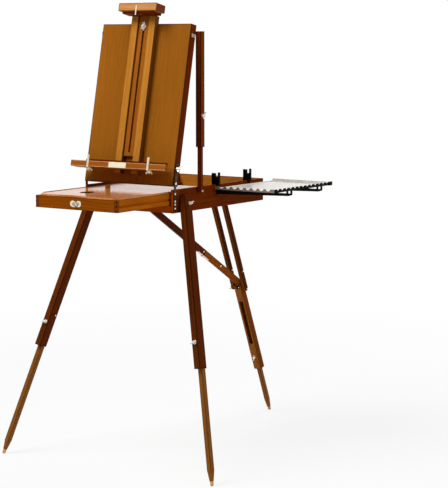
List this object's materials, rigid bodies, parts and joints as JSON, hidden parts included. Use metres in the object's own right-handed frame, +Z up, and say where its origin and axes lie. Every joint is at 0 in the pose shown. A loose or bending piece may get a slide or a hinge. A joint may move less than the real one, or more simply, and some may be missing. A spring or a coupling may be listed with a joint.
{
  "type": "french easel",
  "caption": "Open wooden sketch-box easel on telescoping folding legs, with pulled-out drawer and palette, tilting canvas panel, sliding mast and shelf, and hooked-on side tray.",
  "frame": {"origin": "middle of the whole easel's bounding box, on the floor under the feet", "axes": "+X to the side that carries the tray, +Y away from the painter, +Z up"},
  "size_m": [0.9284, 1.2006, 1.595],
  "materials": {
    "frame_wood": "satin varnish",
    "panel_wood": "satin varnish",
    "brass": "polished plating",
    "foot_rubber": "matt tan",
    "tray_metal": "satin",
    "arm_plastic": "matt black"
  },
  "bodies": {
    "box": {"box_left_wall": "frame_wood", "box_right_wall": "frame_wood", "box_front_rail": "frame_wood", "box_rear_wall": "frame_wood", "box_floor": "panel_wood", "drawer_runners": "frame_wood", "pivot_blocks": "frame_wood", "pivot_bolts": "brass", "lower_hinge_leaves": "brass"},
    "drawer": {"drawer_front": "frame_wood", "drawer_sides": "frame_wood", "drawer_back": "frame_wood", "drawer_floor": "panel_wood", "drawer_partitions": "panel_wood", "drawer_latch_plate": "brass"},
    "drawer_ring": {"drawer_ring": "brass"},
    "palette": {"palette": "panel_wood"},
    "lid": {"lid_panel": "panel_wood", "lid_rails": "frame_wood", "lid_fittings": "brass", "upper_hinge_leaves": "brass", "mast_rails": "frame_wood", "mast_bolt": "brass"},
    "mast_nut": {"mast_wing_nut": "brass"},
    "mast": {"mast_bar": "frame_wood", "head_block": "frame_wood", "head_jaw": "frame_wood", "head_bolt": "brass"},
    "head_nut": {"head_wing_nut": "brass"},
    "shelf": {"shelf_ledge": "frame_wood", "shelf_lip": "frame_wood", "shelf_back": "frame_wood", "shelf_nameplate": "brass", "canvas_stops": "brass"},
    "rear_leg": {"rear_leg_rails": "frame_wood", "rear_leg_middle": "frame_wood", "rear_leg_bolts": "brass"},
    "rear_leg_lower": {"rear_leg_bar": "frame_wood", "rear_foot_plug": "foot_rubber"},
    "brace_front": {"brace_front": "frame_wood", "brace_front_leaf": "brass"},
    "brace_rear": {"brace_rear": "frame_wood", "brace_rear_leaf": "brass"},
    "tray": {"tray_pan": "tray_metal", "tray_arms": "arm_plastic"},
    "left_strut": {"left_strut_bar": "frame_wood"},
    "left_strut_top": {"left_strut_channel": "frame_wood", "left_strut_clamp": "brass"},
    "left_leg": {"left_leg_channel": "frame_wood", "left_leg_clamp": "brass"},
    "left_leg_lower": {"left_leg_bar": "frame_wood", "left_foot_plug": "foot_rubber"},
    "right_strut": {"right_strut_bar": "frame_wood"},
    "right_strut_top": {"right_strut_channel": "frame_wood", "right_strut_clamp": "brass"},
    "right_leg": {"right_leg_channel": "frame_wood", "right_leg_clamp": "brass"},
    "right_leg_lower": {"right_leg_bar": "frame_wood", "right_foot_plug": "foot_rubber"}
  },
  "joints": [
    {"name": "drawer_slide", "type": "slide", "parent": "box", "child": "drawer", "axis": [0, -1, 0], "range_m": [-0.283, 0.1]},
    {"name": "ring_swing", "type": "hinge", "parent": "drawer", "child": "drawer_ring", "pos_m": [-0.03581, -0.59768, 0.9303], "axis": [-1, 0, 0], "range_deg": [-3, 85]},
    {"name": "palette_slide", "type": "slide", "parent": "drawer", "child": "palette", "axis": [0, -1, 0], "range_m": [0, 0.2]},
    {"name": "lid_tilt", "type": "hinge", "parent": "box", "child": "lid", "pos_m": [-0.03581, -0.30158, 0.978], "axis": [1, 0, 0], "range_deg": [-45, 20]},
    {"name": "mast_nut_turn", "type": "hinge", "parent": "lid", "child": "mast_nut", "pos_m": [-0.03581, -0.21737, 1.50793], "axis": [0, -0.9792, 0.2028], "continuous": true},
    {"name": "mast_slide", "type": "slide", "parent": "lid", "child": "mast", "axis": [0, 0.2028, 0.9792], "range_m": [0, 0.4]},
    {"name": "head_nut_turn", "type": "hinge", "parent": "mast", "child": "head_nut", "pos_m": [-0.03581, -0.23426, 1.54717], "axis": [0, 0.2028, 0.9792], "continuous": true},
    {"name": "shelf_slide", "type": "slide", "parent": "lid", "child": "shelf", "axis": [0, 0.2028, 0.9792], "range_m": [0, 0.15]},
    {"name": "left_strut_swing", "type": "hinge", "parent": "box", "child": "left_strut", "pos_m": [-0.23831, -0.16958, 0.945], "axis": [1, 0, 0], "range_deg": [-48, 22]},
    {"name": "left_strut_slide", "type": "slide", "parent": "left_strut", "child": "left_strut_top", "axis": [0, 0, 1], "range_m": [-0.105, 0.05]},
    {"name": "right_strut_swing", "type": "hinge", "parent": "box", "child": "right_strut", "pos_m": [0.16669, -0.16958, 0.945], "axis": [1, 0, 0], "range_deg": [-48, 22]},
    {"name": "right_strut_slide", "type": "slide", "parent": "right_strut", "child": "right_strut_top", "axis": [0, 0, 1], "range_m": [-0.105, 0.05]},
    {"name": "left_leg_fold", "type": "hinge", "parent": "box", "child": "left_leg", "pos_m": [-0.24331, -0.24258, 0.908], "axis": [0.9728, 0, -0.2317], "range_deg": [0, 100]},
    {"name": "left_leg_slide", "type": "slide", "parent": "left_leg", "child": "left_leg_lower", "axis": [-0.2236, -0.2622, -0.9387], "range_m": [-0.36, 0.04]},
    {"name": "right_leg_fold", "type": "hinge", "parent": "box", "child": "right_leg", "pos_m": [0.17169, -0.25658, 0.908], "axis": [0.9728, 0, 0.2317], "range_deg": [0, 100]},
    {"name": "right_leg_slide", "type": "slide", "parent": "right_leg", "child": "right_leg_lower", "axis": [0.2283, -0.1719, -0.9583], "range_m": [-0.36, 0.04]},
    {"name": "rear_leg_fold", "type": "hinge", "parent": "box", "child": "rear_leg", "pos_m": [-0.03581, 0.22742, 0.883], "axis": [-1, 0, 0], "range_deg": [0, 108]},
    {"name": "rear_leg_slide", "type": "slide", "parent": "rear_leg", "child": "rear_leg_lower", "axis": [0, 0.3859, -0.9225], "range_m": [-0.17, 0.04]},
    {"name": "brace_front_swing", "type": "hinge", "parent": "box", "child": "brace_front", "pos_m": [-0.03581, -0.18658, 0.877], "axis": [1, 0, 0], "range_deg": [0, 28]},
    {"name": "brace_rear_swing", "type": "hinge", "parent": "brace_front", "child": "brace_rear", "pos_m": [-0.03581, 0.13154, 0.66865], "axis": [-1, 0, 0], "range_deg": [0, 176.5]},
    {"name": "tray_lift", "type": "slide", "parent": "box", "child": "tray", "axis": [0, 0, 1], "range_m": [0, 0.1]}
  ],
  "couplings": [
    {"joint": "left_strut_swing", "follows": "lid_tilt", "ratio": 1.02},
    {"joint": "left_strut_slide", "follows": "lid_tilt", "m_per_rad": 0.129},
    {"joint": "right_strut_swing", "follows": "lid_tilt", "ratio": 1.02},
    {"joint": "right_strut_slide", "follows": "lid_tilt", "m_per_rad": 0.129},
    {"joint": "brace_front_swing", "follows": "rear_leg_fold", "ratio": 0.25833},
    {"joint": "brace_rear_swing", "follows": "rear_leg_fold", "ratio": 1.6296}
  ]
}
